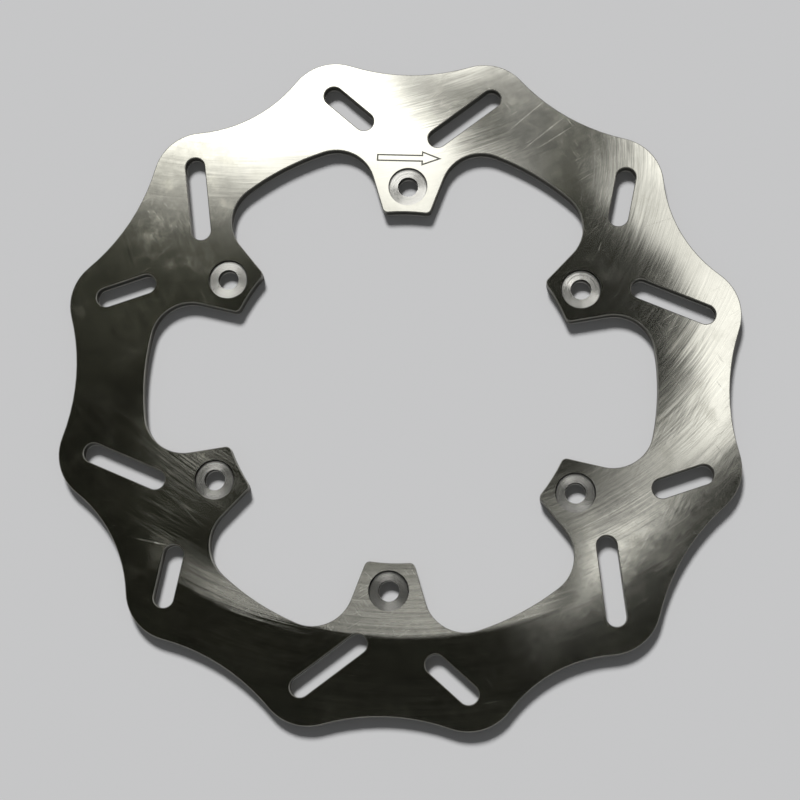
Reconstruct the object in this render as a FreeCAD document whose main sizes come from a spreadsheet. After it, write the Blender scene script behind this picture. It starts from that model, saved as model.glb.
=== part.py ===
import FreeCAD, Part
import math
import os
import Sketcher

# Wave-edged brake disc: one flat stainless steel plate, 4 mm thick, 220 mm over
# the wave crests, bolted to a wheel hub by six counterbored tabs that point
# inwards from the braking ring.
#
# Frame: origin on the disc axis at the hub-side face, +Z out of the hub towards
# the face with the counterbores, +Y along the tab that carries the arrow mark.

os.makedirs("parts", exist_ok=True)
doc = FreeCAD.newDocument("brake_disc_design")

# ---------------------------------------------------------------- dimensions
sheet = doc.addObject("Spreadsheet::Sheet", "dims")
DIMS = [
    ("disc_thickness", 4.0),
    # outer wavy edge
    ("outer_radius", 110.0),          # over the crests
    ("wave_crest_radius", 16.0),      # convex arc of every crest
    ("valley_radius_shallow", 103.1), # two of every three valleys
    ("valley_radius_deep", 101.6),    # every third valley is cut deeper
    ("wave_count", 12),
    ("wave_group_count", 4),          # the deep valley comes back every 90 deg
    ("wave_phase_deg", 0.6),          # waves against the tabs
    # six windows between ring and tabs
    ("tab_count", 6),
    ("ring_inner_radius", 80.9),
    ("window_corner_radius", 12.7),
    ("tab_half_width", 10.4),         # at the bolt circle
    ("tab_side_deg", 18.7),           # each side leans in towards the tip
    ("tab_tip_radius", 1.8),
    ("tab_end_radius", 56.5),         # tab ends lie on the 113 mm pilot circle
    # bolt holes
    ("bolt_circle_radius", 65.0),
    ("bolt_hole_diameter", 6.5),
    ("counterbore_diameter", 12.6),
    ("counterbore_depth", 0.7),
    # slots, as end-centre positions against the +Y tab
    ("slot_width", 6.3),
    ("slot_outer_across", 25.7),
    ("slot_outer_out", 95.3),
    ("long_slot_inner_across", 8.9),
    ("long_slot_inner_out", 81.6),
    ("short_slot_inner_across", 15.3),
    ("short_slot_inner_out", 86.8),
    # broken edges
    ("edge_break", 0.25),
    # direction-of-rotation arrow on the +Y tab
    ("arrow_centre_across", 0.0),
    ("arrow_centre_out", 74.6),
    ("arrow_length", 21.0),
    ("arrow_head_length", 6.5),
    ("arrow_head_height", 5.0),
    ("arrow_shaft_height", 2.4),
    ("arrow_line", 0.5),
    ("arrow_depth", 0.12),
]
for row, (alias, value) in enumerate(DIMS, start=1):
    sheet.set("A%d" % row, alias)
    sheet.set("B%d" % row, "%g" % value)
    sheet.setAlias("B%d" % row, alias)
doc.recompute()
D = {alias: float(sheet.get(alias)) for alias, _ in DIMS}

V = FreeCAD.Vector
Z = V(0, 0, 1)


def polar(radius, degrees):
    a = math.radians(degrees)
    return V(radius * math.cos(a), radius * math.sin(a), 0)


def plane(body, role):
    for f in body.Origin.OriginFeatures:
        if f.Role == role:
            return f
    raise RuntimeError("no " + role)


def new_sketch(body, name, on_top):
    sk = body.newObject("Sketcher::SketchObject", name)
    sk.AttachmentSupport = [(plane(body, "XY_Plane"), "")]
    sk.MapMode = "FlatFace"
    if on_top:
        sk.setExpression("AttachmentOffset.Base.z", "dims.disc_thickness")
    return sk


def seg(a, b):
    return Part.LineSegment(a, b)


def arc(centre, radius, start, end):
    """Anticlockwise arc between two points that lie on the circle."""
    a0 = math.atan2(start.y - centre.y, start.x - centre.x)
    a1 = math.atan2(end.y - centre.y, end.x - centre.x)
    while a1 <= a0:
        a1 += 2 * math.pi
    return Part.ArcOfCircle(Part.Circle(centre, Z, radius), a0, a1)


def bind(sk, constraint, expression):
    """Add a dimensional constraint and drive it from the sheet."""
    index = sk.addConstraint(constraint)
    sk.setExpression("Constraints[%d]" % index, expression)
    return index


C = Sketcher.Constraint
START, END, MID = 1, 2, 3

body = doc.addObject("PartDesign::Body", "BrakeDisc")
body.Label = "brake_disc"

# ------------------------------------------------ blank with the wavy outline
# A quarter of the blank, from one deep valley to the next: half a deep valley,
# crest, shallow valley, crest, shallow valley, crest, half a deep valley.
crest_r = D["wave_crest_radius"]
crest_c = D["outer_radius"] - crest_r
pitch = 360.0 / D["wave_count"]
first = pitch + D["wave_phase_deg"]           # direction of the first deep valley
last = first + 3 * pitch
crests = [polar(crest_c, first + pitch * (i + 0.5)) for i in range(3)]


def valley_arc_radius(depth_radius):
    """Concave arc that meets the crest arcs on both sides without a corner."""
    c = math.cos(math.radians(pitch / 2))
    top = crest_r ** 2 - crest_c ** 2 - depth_radius ** 2 + 2 * crest_c * c * depth_radius
    return top / (2 * depth_radius - 2 * crest_c * c - 2 * crest_r)


deep_r = valley_arc_radius(D["valley_radius_deep"])
shal_r = valley_arc_radius(D["valley_radius_shallow"])
deep0 = polar(D["valley_radius_deep"] + deep_r, first)
deep1 = polar(D["valley_radius_deep"] + deep_r, last)
shal = [polar(D["valley_radius_shallow"] + shal_r, first + pitch * (i + 1)) for i in range(2)]


def touch(valley_c, valley_r, crest):
    d = crest - valley_c
    return valley_c + d * (valley_r / d.Length)


t0 = touch(deep0, deep_r, crests[0])
t1 = touch(shal[0], shal_r, crests[0])
t2 = touch(shal[0], shal_r, crests[1])
t3 = touch(shal[1], shal_r, crests[1])
t4 = touch(shal[1], shal_r, crests[2])
t5 = touch(deep1, deep_r, crests[2])
p0 = polar(D["valley_radius_deep"], first)
p1 = polar(D["valley_radius_deep"], last)

sk = new_sketch(body, "OutlineSketch", False)
O = V(0, 0, 0)
sk.addGeometry(seg(O, p0), False)                       # 0 radial side
sk.addGeometry(arc(deep0, deep_r, t0, p0), False)       # 1 half deep valley
sk.addGeometry(arc(crests[0], crest_r, t0, t1), False)  # 2 crest
sk.addGeometry(arc(shal[0], shal_r, t2, t1), False)     # 3 shallow valley
sk.addGeometry(arc(crests[1], crest_r, t2, t3), False)  # 4 crest
sk.addGeometry(arc(shal[1], shal_r, t4, t3), False)     # 5 shallow valley
sk.addGeometry(arc(crests[2], crest_r, t4, t5), False)  # 6 crest
sk.addGeometry(arc(deep1, deep_r, p1, t5), False)       # 7 half deep valley
sk.addGeometry(seg(p1, O), False)                       # 8 radial side
for c in crests:
    sk.addGeometry(seg(O, c), True)                     # 9, 10, 11 crest directions
v0 = polar(D["valley_radius_shallow"], first + pitch)
v1 = polar(D["valley_radius_shallow"], first + 2 * pitch)
sk.addGeometry(seg(O, v0), True)                        # 12 shallow valley depth
sk.addGeometry(seg(O, v1), True)                        # 13 shallow valley depth

sk.addConstraint(C("Coincident", 0, START, -1, 1))
sk.addConstraint(C("Coincident", 8, END, -1, 1))
sk.addConstraint(C("Coincident", 0, END, 1, END))
sk.addConstraint(C("Coincident", 8, START, 7, START))
sk.addConstraint(C("Tangent", 1, START, 2, START))
sk.addConstraint(C("Tangent", 2, END, 3, END))
sk.addConstraint(C("Tangent", 3, START, 4, START))
sk.addConstraint(C("Tangent", 4, END, 5, END))
sk.addConstraint(C("Tangent", 5, START, 6, START))
sk.addConstraint(C("Tangent", 6, END, 7, END))
sk.addConstraint(C("PointOnObject", 1, MID, 0))
sk.addConstraint(C("PointOnObject", 7, MID, 8))
for line, crest in ((9, 2), (10, 4), (11, 6)):
    sk.addConstraint(C("Coincident", line, START, -1, 1))
    sk.addConstraint(C("Coincident", line, END, crest, MID))
    bind(sk, C("Distance", line, crest_c), "dims.outer_radius - dims.wave_crest_radius")
    bind(sk, C("Radius", crest, crest_r), "dims.wave_crest_radius")
for line, valley in ((12, 3), (13, 5)):
    sk.addConstraint(C("Coincident", line, START, -1, 1))
    sk.addConstraint(C("PointOnObject", line, END, valley))
    sk.addConstraint(C("PointOnObject", valley, MID, line))
    bind(sk, C("Distance", line, D["valley_radius_shallow"]), "dims.valley_radius_shallow")
bind(sk, C("Distance", 0, D["valley_radius_deep"]), "dims.valley_radius_deep")
bind(sk, C("Distance", 8, D["valley_radius_deep"]), "dims.valley_radius_deep")
for line, steps in ((0, 1.0), (9, 1.5), (10, 2.5), (11, 3.5)):
    bind(sk, C("Angle", line, math.radians(steps * pitch + D["wave_phase_deg"])),
         "%g * 360 deg / dims.wave_count + dims.wave_phase_deg * 1 deg" % steps)
bind(sk, C("Angle", 0, START, 8, END, math.radians(3 * pitch)), "360 deg / dims.wave_group_count")
doc.recompute()

pad = body.newObject("PartDesign::Pad", "QuarterBlank")
pad.Profile = sk
pad.setExpression("Length", "dims.disc_thickness")
doc.recompute()

blank = body.newObject("PartDesign::PolarPattern", "Blank")
blank.Originals = [pad]
blank.Axis = (sk, ["N_Axis"])
blank.Angle = 360
blank.setExpression("Occurrences", "dims.wave_group_count")
blank.Refine = True
body.Tip = blank
doc.recompute()
volume_blank = body.Shape.Volume

# ------------------------------------------------ windows that leave six tabs
# One window sector lies around the +Y tab: it clears everything inside the
# braking ring between two window middles except the tab itself.
ri, rf = D["ring_inner_radius"], D["window_corner_radius"]
lean = math.radians(D["tab_side_deg"])
side = V(math.sin(lean), math.cos(lean), 0)      # along the right-hand tab side, outwards
away = V(math.cos(lean), -math.sin(lean), 0)     # square to it, away from the tab
through = V(D["tab_half_width"], D["bolt_circle_radius"], 0)
q = through + away * rf
b = q.dot(side)
cf = q + side * (-b + math.sqrt(b * b - q.dot(q) + (ri - rf) ** 2))   # ring corner centre
rt, re_ = D["tab_tip_radius"], D["tab_end_radius"]
q = through - away * rt
b = q.dot(side)
ct = q + side * (-b + math.sqrt(b * b - q.dot(q) + (re_ + rt) ** 2))  # tab tip centre
half = 180.0 / D["tab_count"]
a0 = polar(ri, 90 - half)
a1 = cf * (ri / cf.Length)
a2 = cf - away * rf
a3 = ct + away * rt
a4 = ct * (re_ / ct.Length)


def mirrored(p):
    return V(-p.x, p.y, 0)


sk = new_sketch(body, "WindowSketch", True)
sk.addGeometry(seg(O, a0), False)                                   # 0
sk.addGeometry(arc(O, ri, a0, a1), False)                           # 1 ring, right
sk.addGeometry(arc(cf, rf, a1, a2), False)                          # 2 corner, right
sk.addGeometry(seg(a2, a3), False)                                  # 3 tab side, right
sk.addGeometry(arc(ct, rt, a4, a3), False)                          # 4 tip, right
sk.addGeometry(arc(O, re_, a4, mirrored(a4)), False)                # 5 tab end
sk.addGeometry(arc(mirrored(ct), rt, mirrored(a3), mirrored(a4)), False)  # 6 tip, left
sk.addGeometry(seg(mirrored(a3), mirrored(a2)), False)              # 7 tab side, left
sk.addGeometry(arc(mirrored(cf), rf, mirrored(a2), mirrored(a1)), False)  # 8 corner, left
sk.addGeometry(arc(O, ri, mirrored(a1), mirrored(a0)), False)       # 9 ring, left
sk.addGeometry(seg(mirrored(a0), O), False)                         # 10
sk.addGeometry(seg(mirrored(through), through), True)               # 11 tab width

sk.addConstraint(C("Coincident", 0, START, -1, 1))
sk.addConstraint(C("Coincident", 10, END, -1, 1))
sk.addConstraint(C("Coincident", 0, END, 1, START))
sk.addConstraint(C("Coincident", 10, START, 9, END))
for g in (1, 5, 9):
    sk.addConstraint(C("Coincident", g, MID, -1, 1))
sk.addConstraint(C("Tangent", 1, END, 2, START))
sk.addConstraint(C("Tangent", 2, END, 3, START))
sk.addConstraint(C("Tangent", 3, END, 4, END))
sk.addConstraint(C("Tangent", 4, START, 5, START))
sk.addConstraint(C("Tangent", 5, END, 6, END))
sk.addConstraint(C("Tangent", 6, START, 7, START))
sk.addConstraint(C("Tangent", 7, END, 8, START))
sk.addConstraint(C("Tangent", 8, END, 9, START))
sk.addConstraint(C("PointOnObject", 11, START, 7))
sk.addConstraint(C("PointOnObject", 11, END, 3))
sk.addConstraint(C("Symmetric", 11, START, 11, END, -2))
bind(sk, C("Distance", 11, 2 * D["tab_half_width"]), "2 * dims.tab_half_width")
bind(sk, C("DistanceY", -1, 1, 11, END, D["bolt_circle_radius"]), "dims.bolt_circle_radius")
bind(sk, C("Radius", 1, ri), "dims.ring_inner_radius")
bind(sk, C("Radius", 9, ri), "dims.ring_inner_radius")
bind(sk, C("Radius", 2, rf), "dims.window_corner_radius")
bind(sk, C("Radius", 8, rf), "dims.window_corner_radius")
bind(sk, C("Radius", 4, rt), "dims.tab_tip_radius")
bind(sk, C("Radius", 6, rt), "dims.tab_tip_radius")
bind(sk, C("Radius", 5, re_), "dims.tab_end_radius")
bind(sk, C("Angle", 0, math.radians(90 - half)), "90 deg - 180 deg / dims.tab_count")
bind(sk, C("Angle", 0, START, 10, END, math.radians(2 * half)), "360 deg / dims.tab_count")
bind(sk, C("Angle", 3, END, -2, START, lean), "dims.tab_side_deg * 1 deg")
bind(sk, C("Angle", 3, END, 7, START, 2 * lean), "2 * dims.tab_side_deg * 1 deg")
doc.recompute()

window = body.newObject("PartDesign::Pocket", "WindowCut")
window.Profile = sk
window.Type = "ThroughAll"
doc.recompute()
windows = body.newObject("PartDesign::PolarPattern", "Windows")
windows.Originals = [window]
windows.Axis = (sk, ["N_Axis"])
windows.Angle = 360
windows.setExpression("Occurrences", "dims.tab_count")
windows.Refine = True
body.Tip = windows
doc.recompute()
volume_windows = body.Shape.Volume

# ------------------------------------------------ slots in the braking ring
# A long slot leans one way and a short slot leans the other, twice per window.
sk = new_sketch(body, "SlotSketch", True)
sr = D["slot_width"] / 2
ends = [
    (V(D["slot_outer_across"], D["slot_outer_out"], 0),
     V(D["long_slot_inner_across"], D["long_slot_inner_out"], 0),
     ("dims.slot_outer_across", "dims.slot_outer_out",
      "dims.long_slot_inner_across", "dims.long_slot_inner_out")),
    (V(-D["slot_outer_across"], D["slot_outer_out"], 0),
     V(-D["short_slot_inner_across"], D["short_slot_inner_out"], 0),
     ("dims.slot_outer_across", "dims.slot_outer_out",
      "dims.short_slot_inner_across", "dims.short_slot_inner_out")),
]
for n, (outer_c, inner_c, names) in enumerate(ends):
    k = 4 * n
    d = (outer_c - inner_c).normalize()
    s = V(-d.y, d.x, 0) * sr
    sk.addGeometry(arc(outer_c, sr, outer_c - s, outer_c + s), False)
    sk.addGeometry(seg(outer_c + s, inner_c + s), False)
    sk.addGeometry(arc(inner_c, sr, inner_c + s, inner_c - s), False)
    sk.addGeometry(seg(inner_c - s, outer_c - s), False)
    sk.addConstraint(C("Tangent", k, END, k + 1, START))
    sk.addConstraint(C("Tangent", k + 1, END, k + 2, START))
    sk.addConstraint(C("Tangent", k + 2, END, k + 3, START))
    sk.addConstraint(C("Tangent", k + 3, END, k, START))
    sk.addConstraint(C("Equal", k, k + 2))
    bind(sk, C("Radius", k, sr), "dims.slot_width / 2")
    for g, point, across, out in ((k, outer_c, names[0], names[1]),
                                  (k + 2, inner_c, names[2], names[3])):
        if point.x > 0:
            bind(sk, C("DistanceX", -1, 1, g, MID, point.x), across)
        else:
            bind(sk, C("DistanceX", g, MID, -1, 1, -point.x), across)
        bind(sk, C("DistanceY", -1, 1, g, MID, point.y), out)
doc.recompute()

slot = body.newObject("PartDesign::Pocket", "SlotCut")
slot.Profile = sk
slot.Type = "ThroughAll"
doc.recompute()
slots = body.newObject("PartDesign::PolarPattern", "Slots")
slots.Originals = [slot]
slots.Axis = (sk, ["N_Axis"])
slots.Angle = 360
slots.setExpression("Occurrences", "dims.tab_count")
body.Tip = slots
doc.recompute()
volume_slots = body.Shape.Volume

# ------------------------------------------------ counterbored bolt holes
sk = new_sketch(body, "HoleSketch", True)
sk.addGeometry(Part.Circle(V(0, D["bolt_circle_radius"], 0), Z, D["bolt_hole_diameter"] / 2), False)
sk.addConstraint(C("PointOnObject", 0, MID, -2))
bind(sk, C("DistanceY", -1, 1, 0, MID, D["bolt_circle_radius"]), "dims.bolt_circle_radius")
bind(sk, C("Diameter", 0, D["bolt_hole_diameter"]), "dims.bolt_hole_diameter")
doc.recompute()

hole = body.newObject("PartDesign::Hole", "BoltHole")
hole.Profile = sk
doc.recompute()
hole.Threaded = False
hole.ThreadType = "None"
hole.DepthType = "ThroughAll"
hole.DrillPoint = "Flat"
hole.HoleCutType = "Counterbore"
hole.HoleCutCustomValues = True
hole.setExpression("Diameter", "dims.bolt_hole_diameter")
hole.setExpression("HoleCutDiameter", "dims.counterbore_diameter")
hole.setExpression("HoleCutDepth", "dims.counterbore_depth")
doc.recompute()
holes = body.newObject("PartDesign::PolarPattern", "BoltHoles")
holes.Originals = [hole]
holes.Axis = (sk, ["N_Axis"])
holes.Angle = 360
holes.setExpression("Occurrences", "dims.tab_count")
body.Tip = holes
doc.recompute()
volume_holes = body.Shape.Volume

# ------------------------------------------------ broken edges on both faces
# Every edge of the outline, the windows and the slots gets the same small
# flat; the counterbores and bolt holes keep sharp edges.
top = D["disc_thickness"]


def outline_edges(shape):
    names = []
    for i, e in enumerate(shape.Edges, start=1):
        zs = [v.Z for v in e.Vertexes]
        if not (all(abs(z) < 1e-6 for z in zs) or all(abs(z - top) < 1e-6 for z in zs)):
            continue
        if isinstance(e.Curve, Part.Circle) and e.isClosed():
            continue
        names.append("Edge%d" % i)
    return names


edge = body.newObject("PartDesign::Chamfer", "EdgeBreak")
edge.Base = (holes, outline_edges(holes.Shape))
edge.setExpression("Size", "dims.edge_break")
body.Tip = edge
doc.recompute()
volume_edges = body.Shape.Volume

# ------------------------------------------------ rotation arrow, outlined
# A plain arrow drawn as one narrow groove around its outline.
sk = new_sketch(body, "ArrowSketch", True)
L, HL = D["arrow_length"], D["arrow_head_length"]
HH, SH, W = D["arrow_head_height"] / 2, D["arrow_shaft_height"] / 2, D["arrow_line"]


def arrow_points(inset):
    """Tail, shaft, head and point, pulled in by the width of the line."""
    head = math.atan2(HH, HL)
    tip = L / 2 - inset / math.sin(head)
    base = L / 2 - HL + inset
    high = (tip - base) * math.tan(head)
    tail = -L / 2 + inset
    s = SH - inset
    return [V(tail, -s, 0), V(base, -s, 0), V(base, -high, 0), V(tip, 0, 0),
            V(base, high, 0), V(base, s, 0), V(tail, s, 0)]


cx, cy = D["arrow_centre_across"], D["arrow_centre_out"]
for ring, inset in enumerate((0.0, W)):
    pts = [p + V(cx, cy, 0) for p in arrow_points(inset)]
    k = 7 * ring
    for i in range(7):
        sk.addGeometry(seg(pts[i], pts[(i + 1) % 7]), False)
    for i in range(7):
        sk.addConstraint(C("Coincident", k + i, END, k + (i + 1) % 7, START))
    for i in (0, 5):
        sk.addConstraint(C("Horizontal", k + i))
    for i in (1, 4, 6):
        sk.addConstraint(C("Vertical", k + i))
bind(sk, C("DistanceY", -1, 1, 3, START, cy), "dims.arrow_centre_out")
bind(sk, C("DistanceX", 0, START, 3, START, L), "dims.arrow_length")
bind(sk, C("DistanceX", 1, START, 3, START, HL), "dims.arrow_head_length")
bind(sk, C("DistanceY", 0, START, 3, START, SH), "dims.arrow_shaft_height / 2")
bind(sk, C("DistanceY", 3, START, 5, START, SH), "dims.arrow_shaft_height / 2")
bind(sk, C("DistanceY", 2, START, 3, START, HH), "dims.arrow_head_height / 2")
bind(sk, C("DistanceY", 3, START, 4, START, HH), "dims.arrow_head_height / 2")
bind(sk, C("DistanceX", -1, 1, 3, START, cx + L / 2), "dims.arrow_centre_across + dims.arrow_length / 2")
sk.addConstraint(C("Vertical", 1, START, 5, START))
sk.addConstraint(C("Vertical", 8, START, 12, START))
sk.addConstraint(C("Parallel", 9, 2))
sk.addConstraint(C("Parallel", 10, 3))
bind(sk, C("DistanceX", 0, START, 7, START, W), "dims.arrow_line")
bind(sk, C("DistanceX", 1, START, 8, START, W), "dims.arrow_line")
bind(sk, C("DistanceY", 0, START, 7, START, W), "dims.arrow_line")
bind(sk, C("DistanceY", 12, START, 5, START, W), "dims.arrow_line")
sk.addConstraint(C("Horizontal", 3, START, 10, START))
bind(sk, C("Distance", 10, START, 3, W), "dims.arrow_line")
doc.recompute()

arrow = body.newObject("PartDesign::Pocket", "ArrowGroove")
arrow.Profile = sk
arrow.Type = "Length"
arrow.setExpression("Length", "dims.arrow_depth")
body.Tip = arrow
doc.recompute()
volume_arrow = body.Shape.Volume

# ---------------------------------------------------------------- checks
print("volumes  blank %.1f  windows %.1f  slots %.1f  holes %.1f  edges %.1f  arrow %.2f"
      % (volume_blank, volume_windows, volume_slots, volume_holes, volume_edges, volume_arrow))
steps = [volume_blank, volume_windows, volume_slots, volume_holes, volume_edges, volume_arrow]
assert all(a > b + 1.0 for a, b in zip(steps, steps[1:])), "a cut removed nothing"
slot_area = (D["slot_width"] * (math.hypot(D["slot_outer_across"] - D["long_slot_inner_across"],
                                           D["slot_outer_out"] - D["long_slot_inner_out"])
                                + math.hypot(D["slot_outer_across"] - D["short_slot_inner_across"],
                                             D["slot_outer_out"] - D["short_slot_inner_out"]))
             + 2 * math.pi * sr * sr)
assert abs((volume_windows - volume_slots) - 6 * slot_area * top) < 1.0
hole_volume = math.pi / 4 * (D["bolt_hole_diameter"] ** 2 * top
                             + (D["counterbore_diameter"] ** 2 - D["bolt_hole_diameter"] ** 2)
                             * D["counterbore_depth"])
assert abs((volume_slots - volume_holes) - 6 * hole_volume) < 1.0

for o in doc.Objects:
    state = list(getattr(o, "State", []))
    if "Invalid" in state or "Error" in state:
        raise RuntimeError("failed: %s %s" % (o.Name, state))
    if o.TypeId == "Sketcher::SketchObject":
        print(o.Name, "solver", o.solve(), "fully constrained", getattr(o, "FullyConstrained", None))

shape = body.Shape
assert not shape.isNull() and shape.isValid(), "disc shape is not valid"
assert len(shape.Solids) == 1
bb = shape.BoundBox
print("box %.3f..%.3f  %.3f..%.3f  %.3f..%.3f" % (bb.XMin, bb.XMax, bb.YMin, bb.YMax, bb.ZMin, bb.ZMax))
print("faces", len(shape.Faces), "mass kg (steel 7.75)", round(shape.Volume * 7.75e-6, 4))

shape.exportStep("parts/%s.step" % body.Label)
print("wrote", body.Label)
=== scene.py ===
# Wave-shaped brake disc lying flat on a pale table: ground faces, cut walls, turned screw seats.
# The scene is in metres, +Z up. Materials work in mm on the plate, x and y flat and z from its back.
import bpy
import math
from functools import partial
from mathutils import Matrix, Vector


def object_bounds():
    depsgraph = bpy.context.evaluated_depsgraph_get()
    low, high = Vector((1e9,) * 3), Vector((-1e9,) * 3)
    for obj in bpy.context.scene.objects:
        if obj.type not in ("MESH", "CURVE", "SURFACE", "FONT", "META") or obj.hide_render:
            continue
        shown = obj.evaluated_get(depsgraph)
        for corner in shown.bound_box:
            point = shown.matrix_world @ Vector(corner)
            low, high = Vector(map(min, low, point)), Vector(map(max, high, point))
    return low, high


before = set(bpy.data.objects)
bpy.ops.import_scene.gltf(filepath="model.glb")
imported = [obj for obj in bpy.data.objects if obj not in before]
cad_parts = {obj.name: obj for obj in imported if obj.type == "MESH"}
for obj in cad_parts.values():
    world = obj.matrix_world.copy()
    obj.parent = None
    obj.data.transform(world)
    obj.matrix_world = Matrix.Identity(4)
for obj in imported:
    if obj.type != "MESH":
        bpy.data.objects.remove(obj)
cad_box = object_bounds()
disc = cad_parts["brake_disc"]
scene = bpy.context.scene
z_low, z_high = cad_box[0][2], cad_box[1][2]
MM = 1000.0                             # mm in a metre
THICKNESS = (z_high - z_low) * MM
HOLE_CIRCLE = 65.0                      # radius the six screw holes stand on
HOLE_PITCH = math.pi / 3
FACE_LEVEL = THICKNESS - 0.05           # the top face lies above this
SEAT_LEVEL = THICKNESS - 0.3            # the seats lie below this, the grooves between the two
TABLE_GAP = 0.00003


# ---------------------------------------------------------------- node arithmetic
class Value:
    """One output in a node tree. Float outputs take ordinary arithmetic."""

    def __init__(self, tree, socket):
        self.tree, self.socket = tree, socket

    __add__ = lambda self, other: calc("ADD", self, other)
    __radd__ = lambda self, other: calc("ADD", other, self)
    __sub__ = lambda self, other: calc("SUBTRACT", self, other)
    __rsub__ = lambda self, other: calc("SUBTRACT", other, self)
    __mul__ = lambda self, other: calc("MULTIPLY", self, other)
    __rmul__ = lambda self, other: calc("MULTIPLY", other, self)
    __truediv__ = lambda self, other: calc("DIVIDE", self, other)
    __rtruediv__ = lambda self, other: calc("DIVIDE", other, self)
    __neg__ = lambda self: calc("MULTIPLY", self, -1.0)


def plug(socket, value):
    if isinstance(value, Value):
        value.tree.links.new(value.socket, socket)
    else:
        socket.default_value = value


def build(tree, kind, inputs, output=0, **settings):
    node = tree.nodes.new("ShaderNode" + kind)
    for name, setting in settings.items():
        setattr(node, name, setting)
    for key, value in inputs.items():
        plug(node.inputs[key], value)
    return Value(tree, node.outputs[output])


def sources(tree, kind, *names):
    node = tree.nodes.new("ShaderNode" + kind)
    return [Value(tree, node.outputs[name]) for name in names]


def calc(kind, first, second=0.0):
    tree = (first if isinstance(first, Value) else second).tree
    return build(tree, "Math", {0: first, 1: second, 2: 0.0}, operation=kind)


lower = partial(calc, "MINIMUM")
upper = partial(calc, "MAXIMUM")
root = partial(calc, "SQRT")
sine = partial(calc, "SINE")
cosine = partial(calc, "COSINE")
size = partial(calc, "ABSOLUTE")
above = partial(calc, "GREATER_THAN")
angle = partial(calc, "ARCTAN2")
power = partial(calc, "POWER")


def step(x, start, end, low=0.0, high=1.0):
    """Smooth change from low at start to high at end."""
    return build(x.tree, "MapRange", {"Value": x, "From Min": start, "From Max": end,
                                      "To Min": low, "To Max": high},
                 interpolation_type="SMOOTHSTEP")


def mix(share, without, full):
    return (1.0 - share) * without + share * full


def dist(x, y):
    return root(x * x + y * y)


def blob(x, y, mid_x, mid_y, radius_x, radius_y, turn=0.0):
    """Soft round patch, turned by degrees: 1 at its centre, 0 beyond its radii."""
    cos, sin = math.cos(math.radians(turn)), math.sin(math.radians(turn))
    along = ((x - mid_x) * cos + (y - mid_y) * sin) / radius_x
    across = ((y - mid_y) * cos - (x - mid_x) * sin) / radius_y
    return step(dist(along, across), 1.0, 0.0)


def triple(x, y, z):
    return build(x.tree, "CombineXYZ", {0: x, 1: y, 2: z})


def split(vector):
    node = vector.tree.nodes.new("ShaderNodeSeparateXYZ")
    plug(node.inputs[0], vector)
    return [Value(vector.tree, output) for output in node.outputs]


def grain(x, y, z, detail=2.0, rough=0.5):
    """Noise from 0 to 1 whose features are one unit across."""
    return build(x.tree, "TexNoise", {"Scale": 1.0, "Detail": detail, "Roughness": rough,
                                      "Vector": triple(x, y, z)}, noise_dimensions="3D")


def unit(vector):
    return build(vector.tree, "VectorMath", {0: vector}, operation="NORMALIZE")


def mark(x, y, start_x, start_y, end_x, end_y, width):
    """A scratch: 1 on its line, 0 outside its width, thinning towards its ends."""
    run_x, run_y = end_x - start_x, end_y - start_y
    length = math.hypot(run_x, run_y)
    dir_x, dir_y = run_x / length, run_y / length
    along = ((x - start_x) * dir_x + (y - start_y) * dir_y) / length
    across = size((y - start_y) * dir_x - (x - start_x) * dir_y)
    ends = step(along, 0.0, 0.25) * step(along, 1.0, 0.6)
    return step(across, width, width * 0.25) * ends


def new_material(name):
    material = bpy.data.materials.new(name)
    material.use_nodes = True
    tree = material.node_tree
    return material, tree, tree.nodes["Principled BSDF"]


# ---------------------------------------------------------------- steel: kinds of surface
steel, tree, shader = new_material("GroundSteel")
[position] = sources(tree, "TexCoord", "Object")
true_normal, normal = sources(tree, "NewGeometry", "True Normal", "Normal")
plate_x, y, z = [c * MM for c in split(position)]
normal_x, normal_y, normal_z = split(true_normal)

is_up = above(normal_z, 0.9)
is_down = above(-normal_z, 0.9)
is_wall = above(0.35, size(normal_z))
is_face = upper(is_up * above(z, FACE_LEVEL), is_down)
is_seat = is_up * above(SEAT_LEVEL, z)
is_groove = is_up * above(FACE_LEVEL, z) * above(z, SEAT_LEVEL)
side = 1.0 - 2.0 * is_down              # the back face carries the same finish, mirrored
x = plate_x * side
seed = is_down * 40.0


# ---------------------------------------------------------------- steel: grinding
def streaks(mid_x, mid_y, arc_radius, shift):
    """Marks on arcs round a centre: fine, mid and wide noise, and the outward direction."""
    off_x, off_y = x - mid_x, y - mid_y
    radius = dist(off_x, off_y)
    arc = angle(off_x, -off_y) * arc_radius
    fine = grain(radius / 0.30, arc / 18.0, seed + shift, 3.0, 0.65) - 0.5
    mid = grain(radius / 0.8, arc / 30.0, seed + shift + 7.0, 3.0, 0.6) - 0.5
    wide = grain(radius / 3.0, arc / 45.0, seed + shift + 13.0, 3.0, 0.6) - 0.5
    return fine, mid, wide, off_x / radius, off_y / radius


# Tight arcs over most of the face, flatter ones over its high-y part.
flatter = step(y, 40.0, 64.0) * step(x, 70.0, 46.0)
fine, mid, wide, out_x, out_y = [
    mix(flatter, tight, flat)
    for tight, flat in zip(streaks(0.0, 75.0, 100.0, 1.0), streaks(-55.0, 284.0, 220.0, 3.0))]

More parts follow.
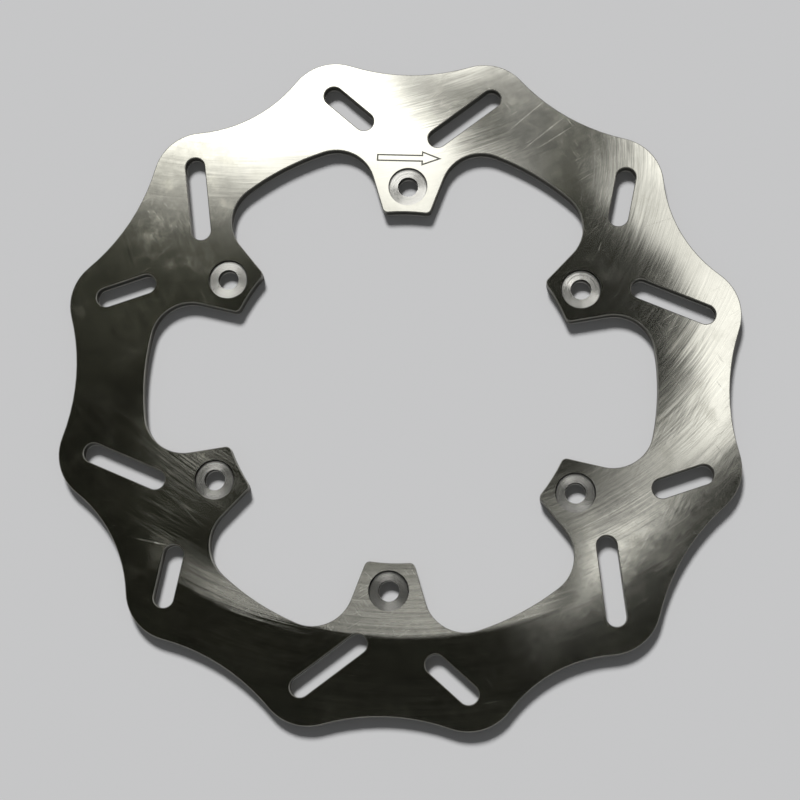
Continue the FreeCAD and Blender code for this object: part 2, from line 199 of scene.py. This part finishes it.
# Rougher band, bounded by a feathered arc of radius 139 about (-0.8, 60).
reach = dist(x + 0.8, y - 60.0)
feather = (mid * 10.0 + wide * 10.0 + fine * 8.0) * step(x, 4.0, -36.0, 0.10, 1.0)
band = step(reach + feather, 140.6 + 0.9 * step(x, -10.0, -36.0),
            138.0 + 0.5 * step(x, -10.0, -36.0))
band *= step(reach, step(x, -60.0, -10.0, 126.0, 96.0), step(x, -60.0, -10.0, 136.0, 126.0))
band = band * step(y, -20.0, -46.0) * step(x, -86.0, -48.0)
band = band * step(x, -30.0, 10.0, 0.75, 1.0) * step(x, 64.0, 44.0)

# Slow waviness of the plate.
wave_x = grain(x / 34.0, y / 34.0, seed + 31.0, 1.0) - 0.5
wave_y = grain(x / 34.0, y / 34.0, seed + 37.0, 1.0) - 0.5

# Patches of straight cross-grinding on the high-x side.
CROSS_X, CROSS_Y = 0.906, 0.423         # direction across its streaks, y reversed
cross = grain((x * CROSS_X - y * CROSS_Y) / 0.45, (x * CROSS_Y + y * CROSS_X) / 14.0,
              seed + 111.0, 3.0, 0.6) - 0.5
patch = step(grain(x / 15.0, y / 15.0, seed + 117.0, 1.0), 0.42, 0.62) * step(x, 30.0, 60.0)

# Lean of the normal from each layer.
lean = fine * 0.018 * (1.0 - 0.4 * patch) + mid * 0.012 * (1.0 - 0.5 * patch) + wide * 0.0065
lean *= 1.0 - 0.5 * blob(x, y, 84.0, -54.0, 50.0, 30.0, 40.0)
lean_x = (out_x * lean + CROSS_X * cross * patch * 0.015 + wave_x * 0.012) * side
lean_y = out_y * lean - CROSS_Y * cross * patch * 0.015 + wave_y * 0.012

# ---------------------------------------------------------------- steel: stains and scratches
# Blotches: a little darker, rougher and browner, stronger on the low-x side.
blot = grain(x / 11.0, y / 11.0, seed + 51.0, 4.0, 0.6)
spots = grain(x / 3.0, y / 3.0, seed + 57.0, 3.0, 0.6)
left = step(x, -40.0, -75.0)
blotch_mask = step(blot, 0.50, 0.72) * (0.35 + 0.65 * left)


def scuffs(turn, width, length, cut, shift):
    """Short lines at a turn in degrees, where noise passes the cut, in patches."""
    cos, sin = math.cos(math.radians(turn)), math.sin(math.radians(turn))
    along, across = x * cos + y * sin, y * cos - x * sin
    noise = grain(across / width, along / length, seed + shift, 1.0, 0.5)
    patches = step(grain(x / 22.0, y / 22.0, seed + shift + 5.0, 1.0), 0.45, 0.62)
    return step(noise, cut, cut + 0.06) * patches


loose = upper(upper(scuffs(33.0, 0.34, 9.0, 0.68, 81.0), scuffs(-52.0, 0.32, 8.0, 0.67, 91.0)),
              scuffs(78.0, 0.34, 7.0, 0.69, 101.0))
DEEP_SCRATCH = (-81.5, -51.6, -66.5, -54.2, 0.22)
SCRATCHES = (                           # start x, y, end x, y, width
    (35.0, 77.0, 51.0, 91.0, 0.16), (40.0, 78.0, 55.0, 88.5, 0.14),
    (44.0, 96.0, 30.0, 83.0, 0.14), (-91.0, -10.0, -82.0, -16.0, 0.14),
    (-66.0, -41.0, -58.0, -49.0, 0.16), (70.0, -24.0, 64.0, -39.0, 0.13),
    (30.0, -98.0, 36.0, -96.5, 0.16), (88.0, 58.0, 72.0, 52.0, 0.13))
cuts = mark(x, y, *DEEP_SCRATCH) * 1.7
for scratch in SCRATCHES:
    cuts = upper(cuts, mark(x, y, *scratch))
cuts = upper(cuts * 0.45, loose * 0.32)

# ---------------------------------------------------------------- steel: face finish
lug = blob(x, y, -62.0, -26.0, 32.0, 22.0, -40.0)
sweep_along, sweep_across = x * 0.883 - y * 0.469, x * 0.469 + y * 0.883
sweep = blob(x, y, -70.0, -45.0, 24.0, 14.0, -30.0) * upper(
    grain(sweep_across / 0.8, sweep_along / 20.0, seed + 131.0, 3.0, 0.65) - 0.42, 0.0) * 0.5
face_rough = 0.068 + mid * 0.03
face_rough += band * (0.20 + 0.07 * step(x, 0.0, -40.0) + mid * 0.13 + wide * 0.08)
face_rough = face_rough + blotch_mask * 0.05 + cuts * 0.16
face_rough = face_rough + lug * (0.13 + mid * 0.34 + fine * 0.14) + sweep

corner_patch = blob(x, y, 80.0, -50.0, 52.0, 30.0, 40.0)
more_mottle = upper(left, step(y, -66.0, -82.0))           # stronger tone mottling on the low-x side and along the low-y edge
face_tone = 0.60 + fine * 0.26 + mid * 0.14 - blotch_mask * 0.05
face_tone += ((spots - 0.5) * 0.30 + (blot - 0.5) * 0.22 + wide * 0.2) * (0.15 + 1.15 * more_mottle)
face_tone = face_tone + more_mottle * (fine * 0.20 + mid * 0.15) + cuts * 0.10
smoke = upper(corner_patch * 0.8, blob(x, y, 42.0, 86.0, 44.0, 28.0, -30.0))
face_tone += corner_patch * (fine * 0.40 + mid * 0.60 + wide * 0.60 + (spots - 0.5) * 0.30)
face_tone += smoke * ((blot - 0.5) * 0.55 + (spots - 0.5) * 0.30)

# ---------------------------------------------------------------- steel: seats and walls
# Turned rings round the nearest screw hole.
hole_angle = calc("FLOOR", angle(y, plate_x) / HOLE_PITCH) * HOLE_PITCH + HOLE_PITCH / 2
hole_x = plate_x - cosine(hole_angle) * HOLE_CIRCLE
hole_y = y - sine(hole_angle) * HOLE_CIRCLE
hole_dist = dist(hole_x, hole_y)
ring = grain(hole_dist / 0.22, hole_angle * 3.0, 61.0, 2.0, 0.6) - 0.5
ring_wide = grain(hole_dist / 0.9, hole_angle * 3.0, 67.0, 1.0, 0.6) - 0.5
seat_lean = ring * 0.22 + ring_wide * 0.12
high_y = hole_y / hole_dist
# Painted shadow: the seat floor is darkened next to its wall, wider on the high-y side where the
# wall shades it, and not at all on the low-y side.
seat_painted_shadow = step(hole_dist, 5.75 - 0.65 * upper(high_y, 0.0), 6.2) * step(high_y, -0.75, 0.1)

# Upright striations from the cutting jet.
jet_x = grain(plate_x / 0.35, y / 0.35, z / 9.0, 2.0, 0.6) - 0.5
jet_y = grain(y / 0.35, plate_x / 0.35, z / 9.0 + 5.0, 2.0, 0.6) - 0.5
drag = step(z / THICKNESS, 0.0, 0.6)

# ---------------------------------------------------------------- steel: all surfaces together
rough = 0.36 + 0.0 * fine               # the zero term makes the base a node value
rough = mix(is_face, rough, face_rough)
rough = mix(is_seat, rough, 0.21 + ring * 0.10)
rough = mix(is_groove, rough, 0.55)
rough = mix(is_wall, rough, 0.42 + jet_x * 0.2)

tone = 0.24 + 0.24 * (grain(plate_x / 4.0, y / 4.0, 71.0, 3.0, 0.6) - 0.5)
# Painted shade: the surfaces that keep this tone, the edge chamfers, are darkened towards the back
# face, down to 0.3 times at the bottom.
tone *= step(z / THICKNESS, 0.1, 0.8, 0.30, 1.0)
tone = mix(is_face, tone, face_tone)
# Painted shade: seats are darkened towards low y, down to 0.72 times at y -70. This comes on top of
# their turned rings and the painted shadow by their walls.
seat_tone_and_shade = (0.66 + ring * 0.33) * step(y, -70.0, 30.0, 0.72, 1.0) * (1.0 - 0.93 * seat_painted_shadow)
tone = mix(is_seat, tone, seat_tone_and_shade)
tone = mix(is_groove, tone, 0.22)
tone = mix(is_wall, tone, 0.085 + jet_x * 0.11 + drag * 0.05)

# Browner tint on the blotches and on the low-x side of the face, and on the walls.
warm = is_face * (0.35 * blotch_mask + 0.2 * left) + is_wall * 0.5
plug(shader.inputs["Base Color"], build(tree, "CombineColor", {
    0: tone * 1.0, 1: tone * (0.985 - 0.015 * warm),
    2: tone * (0.885 + 0.045 * is_seat - 0.10 * warm)}))
shader.inputs["Metallic"].default_value = 1.0
plug(shader.inputs["Roughness"], rough)

bend_x = is_face * lean_x + is_seat * (hole_x / hole_dist) * seat_lean + is_wall * jet_x * 0.35
bend_y = is_face * lean_y + is_seat * (hole_y / hole_dist) * seat_lean + is_wall * jet_y * 0.35
bent = build(tree, "VectorMath", {0: normal, 1: triple(bend_x, bend_y, 0.0)}, operation="ADD")
plug(shader.inputs["Normal"], unit(bent))
along_x = is_face * out_x * side + is_seat * hole_x / hole_dist + is_wall * normal_x
along_y = is_face * out_y + is_seat * hole_y / hole_dist + is_wall * normal_y
plug(shader.inputs["Anisotropic"], is_face * (0.5 + band * 0.25) + is_seat)
plug(shader.inputs["Tangent"], unit(triple(along_x + 0.001, along_y, is_wall)))

disc.data.materials.clear()
disc.data.materials.append(steel)
for polygon in disc.data.polygons:
    polygon.material_index = 0

# ---------------------------------------------------------------- table
bpy.ops.mesh.primitive_plane_add(size=6.0, location=(0, 0, z_low - TABLE_GAP))
floor = bpy.context.object
floor.name = "Floor"
pale, tree, shader = new_material("PaleTable")
shader.inputs["Base Color"].default_value = (0.72, 0.72, 0.725, 1)
shader.inputs["Roughness"].default_value = 0.95
shader.inputs["Specular IOR Level"].default_value = 0.0
# Clear from below, so that the back of the disc shows, and to rays under 1.2 mm long.
[ray_length] = sources(tree, "LightPath", "Ray Length")
[backfacing] = sources(tree, "NewGeometry", "Backfacing")
surface = build(tree, "MixShader", {0: upper(backfacing, above(0.0012, ray_length)),
                                    1: Value(tree, shader.outputs[0]),
                                    2: build(tree, "BsdfTransparent", {})})
plug(tree.nodes["Material Output"].inputs["Surface"], surface)
floor.data.materials.append(pale)


# ---------------------------------------------------------------- studio
def mirrored_sky(x, y, azimuth):
    """Brightness of what the faces mirror, by the plate point (mm) where the camera sees it."""
    # Edge of the dark card over the middle.
    rim = 67.0 - 12.0 * step(y, 56.0, 70.0) + 8.0 * step(y, 76.0, 88.0)
    rim = rim - 23.0 * step(y, -10.0, -42.0) - 12.0 * step(y, -34.0, -44.0)
    rim += 27.0 * step(y, 62.0, 22.0) * step(y, -50.0, 14.0)
    rim += 3.0 * step(y, 8.0, -4.0) * step(y, -30.0, -14.0)
    flag = step(x - rim, -5.0, 5.0)

    # Bright panels at high y and high x.
    ridge = step(y, 58.0, 82.0) * 2.6 + step(y, 34.0, 64.0) * 0.22
    ridge = ridge * step(x, -118.0, -175.0, 1.0, 0.36) * step(y, 180.0, 270.0, 1.0, 0.55)
    north = upper(ridge * step(x, 66.0, 30.0),
                  1.7 * step(dist(x / 17.0, (y - 66.0) / 22.0), 1.2, 0.75))
    bow = dist(x + 28.0, y - 59.0)
    under_tab = 0.46 * step(dist((x - 53.0) / 14.0, (y + 49.0) / 11.0), 1.2, 0.4)
    glow = 0.25 + under_tab + 1.95 * step(y, -34.0, -6.0) - 0.3 * step(y, 0.0, 16.0)
    glow += 2.3 * step(y, -24.0, -42.0) * step(bow, 140.5, 147.0)
    east = flag * step(bow, 150.5, 145.5) * step(x, 30.0, 66.0) * glow
    east *= step(y, 16.0, 56.0, 1.0, 0.66) + 0.35 * step(y, 62.0, 76.0)

    # Two dark ovals.
    shade = 1.0 - 0.90 * step(dist(((x - 41.0) * 0.85 - (y - 85.0) * 0.53) / 43.0,
                                   ((x - 42.0) * 0.53 + (y - 85.0) * 0.85) / 24.0), 1.10, 0.50)
    far_left = step(x, -130.0, -260.0)
    far_south = step(y, -124.0, -172.0)
    far_out = step(dist(x, y), 230.0, 420.0)
    outer = 0.26 + step(sine(azimuth), -0.5, 0.8) * 0.75
    outer += 0.22 * (0.5 + 0.5 * sine(azimuth * 5.0 + 0.6))
    outer += 0.38 * far_south * step(size(x - 50.0), 190.0, 20.0)
    outer += 0.20 * sine(dist(x, y) / 75.0 + 1.2 * sine(azimuth * 2.0 + 0.4)) * far_out
    room = 0.009 + 0.050 * power(grain(x / 16.0, y / 16.0, 5.0, 2.0, 0.5), 3.0)
    room += 0.035 * blob(x, y, -85.0, 22.0, 50.0, 34.0)
    room += 0.05 * blob(x, y, -60.0, -25.0, 30.0, 22.0, -35.0)
    room += 0.05 * blob(x, y, -58.0, 44.0, 36.0, 22.0)
    shade *= 1.0 - 0.92 * step(dist((x - 11.0) / 26.0,
                                    (y - 94.5 + 0.35 * (x - 11.0)) / 14.0), 1.1, 0.35)
    sky = upper(north, east) * shade
    return sky * (1.0 - far_out) + upper(upper(far_left, far_south), far_out) * outer + room


world = bpy.data.worlds.new("Studio")
scene.world = world
world.use_nodes = True
tree = world.node_tree
[direction] = sources(tree, "TexCoord", "Generated")
sky_x, sky_y, sky_z = split(direction)
spread = 2.0 / (1.0 + size(sky_z))
flat_x, flat_y = sky_x * spread, sky_y * spread
stretch = 1.0 / (1.0 - lower((flat_x * flat_x + flat_y * flat_y) * 0.25, 0.3))
sky = mirrored_sky(flat_x * stretch * 525.0 + 40.6, flat_y * stretch * 525.0 - 112.8,
                   angle(sky_y, sky_x))
tint = step(sky, 0.0, 0.25)
sky_colour = build(tree, "CombineColor", {
    0: sky * 1.0, 1: sky * (1.03 - 0.03 * tint), 2: sky * (0.80 + 0.19 * tint)})
glossy_ray, camera_ray = sources(tree, "LightPath", "Is Glossy Ray", "Is Camera Ray")
# Mirrors see the studio, the camera a pale backdrop and all else a dim grey.
lighting = build(tree, "Mix", {0: glossy_ray, 6: (0.11, 0.112, 0.114, 1), 7: sky_colour},
                 output=2, data_type="RGBA")
seen = build(tree, "Mix", {0: camera_ray, 6: lighting, 7: (0.70, 0.71, 0.72, 1)},
             output=2, data_type="RGBA")
plug(tree.nodes["Background"].inputs[0], seen)
world.cycles.sampling_method = "NONE"

key = bpy.data.lights.new("Key", "SUN")     # a large soft lamp, far off
key.energy = 3.0
key.angle = math.radians(14.0)
key_ob = bpy.data.objects.new("Key", key)
scene.collection.objects.link(key_ob)
key_ob.location = (-0.26, 0.92, 0.95)
key_ob.rotation_euler = (-key_ob.location).to_track_quat("-Z", "Y").to_euler()
key_ob.visible_glossy = False

# ---------------------------------------------------------------- camera
# Plate to camera, with the top face at z 0: a turn (axis times radians), then a shift in mm.
VIEW_TURN = Vector((-0.201713416, 0.0702059005, 0.0397790179))
VIEW_SHIFT = Vector((-0.482186496, -5.09159390, 542.679232))
flip = Matrix(((1, 0, 0), (0, -1, 0), (0, 0, -1)))
to_camera = Matrix.Rotation(VIEW_TURN.length, 3, VIEW_TURN.normalized()) @ flip
eye = -(to_camera.transposed() @ VIEW_SHIFT) / MM
pose = (to_camera.transposed() @ flip).to_4x4()
pose.translation = eye + Vector((0, 0, z_high))
cam = bpy.data.cameras.new("Camera")
cam_ob = bpy.data.objects.new("Camera", cam)
scene.collection.objects.link(cam_ob)
cam_ob.matrix_world = pose
cam.sensor_width = 36.0
cam.lens = 77.69627865
cam.clip_start, cam.clip_end = 0.01, 20.0
scene.camera = cam_ob
scene.view_settings.view_transform = "Standard"
